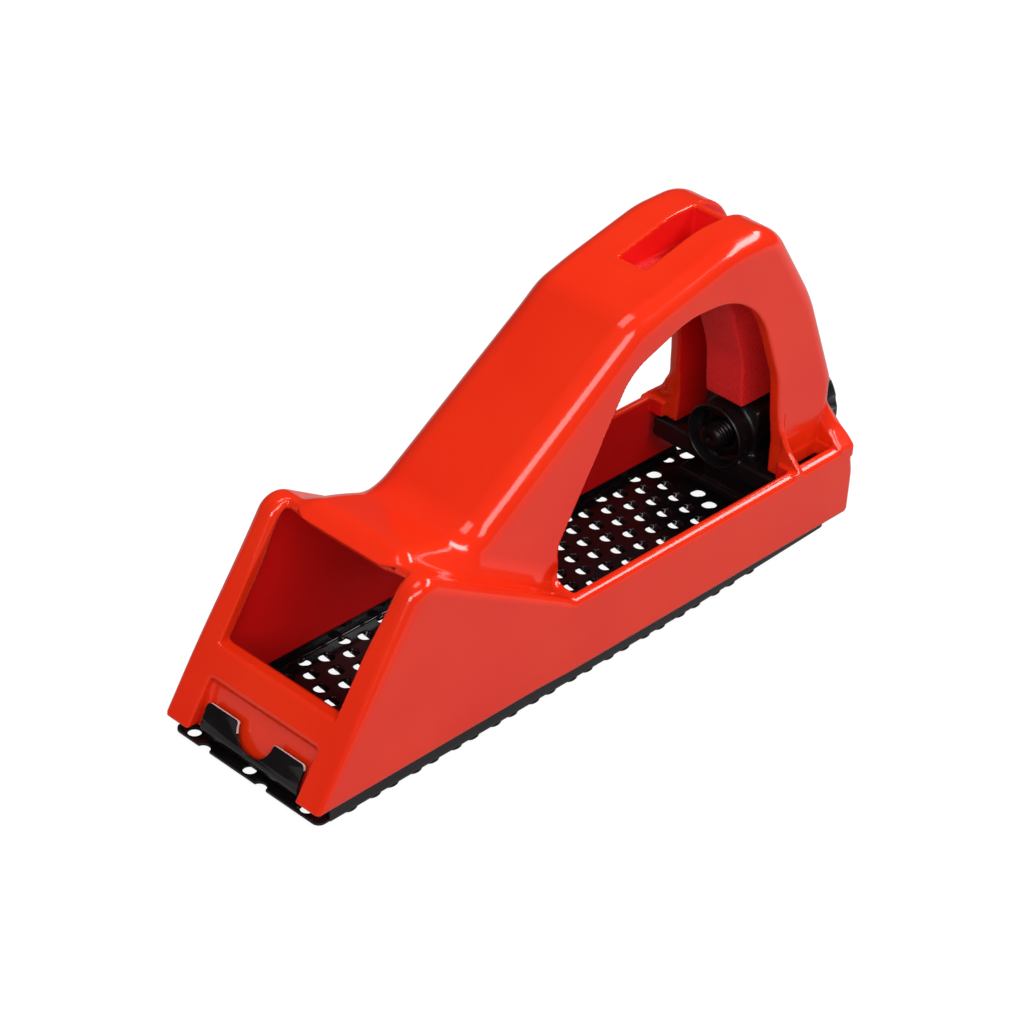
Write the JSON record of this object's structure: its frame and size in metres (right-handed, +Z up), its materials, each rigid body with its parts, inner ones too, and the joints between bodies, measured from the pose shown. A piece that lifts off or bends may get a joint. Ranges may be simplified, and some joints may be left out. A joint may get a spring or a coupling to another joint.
{
  "type": "rasp plane",
  "caption": "One-hand rasp plane: moulded body with a hand loop, a punched rasp blade under it and a screw-driven slider that tensions the blade.",
  "frame": {"origin": "under the middle of the overall length, on the centre plane, in the plane of the tooth tips", "axes": "+X from the toe to the heel, where the knob is; +Z up, away from the work; +Y completes the right-handed frame"},
  "size_m": [0.1612, 0.043, 0.078],
  "materials": {
    "body": "glossy moulded",
    "blade": "gloss black",
    "slider": "satin black",
    "nut": "blackened",
    "washer": "plain",
    "screw": "blackened",
    "knob": "satin black"
  },
  "bodies": {
    "plane": {"body": "body", "blade": "blade", "washer": "washer"},
    "tensioner": {"slider": "slider", "nut": "nut"},
    "knob_screw": {"knob": "knob", "screw": "screw"}
  },
  "joints": [
    {"name": "knob_turn", "type": "hinge", "parent": "plane", "child": "knob_screw", "pos_m": [0.07335, 0, 0.0211], "axis": [1, 0, 0], "range_deg": [0, 2160]},
    {"name": "slider_travel", "type": "slide", "parent": "plane", "child": "tensioner", "axis": [-1, 0, 0], "range_m": [0, 0.00605]}
  ],
  "couplings": [
    {"joint": "slider_travel", "follows": "knob_turn", "m_per_rad": 0.00015915}
  ]
}
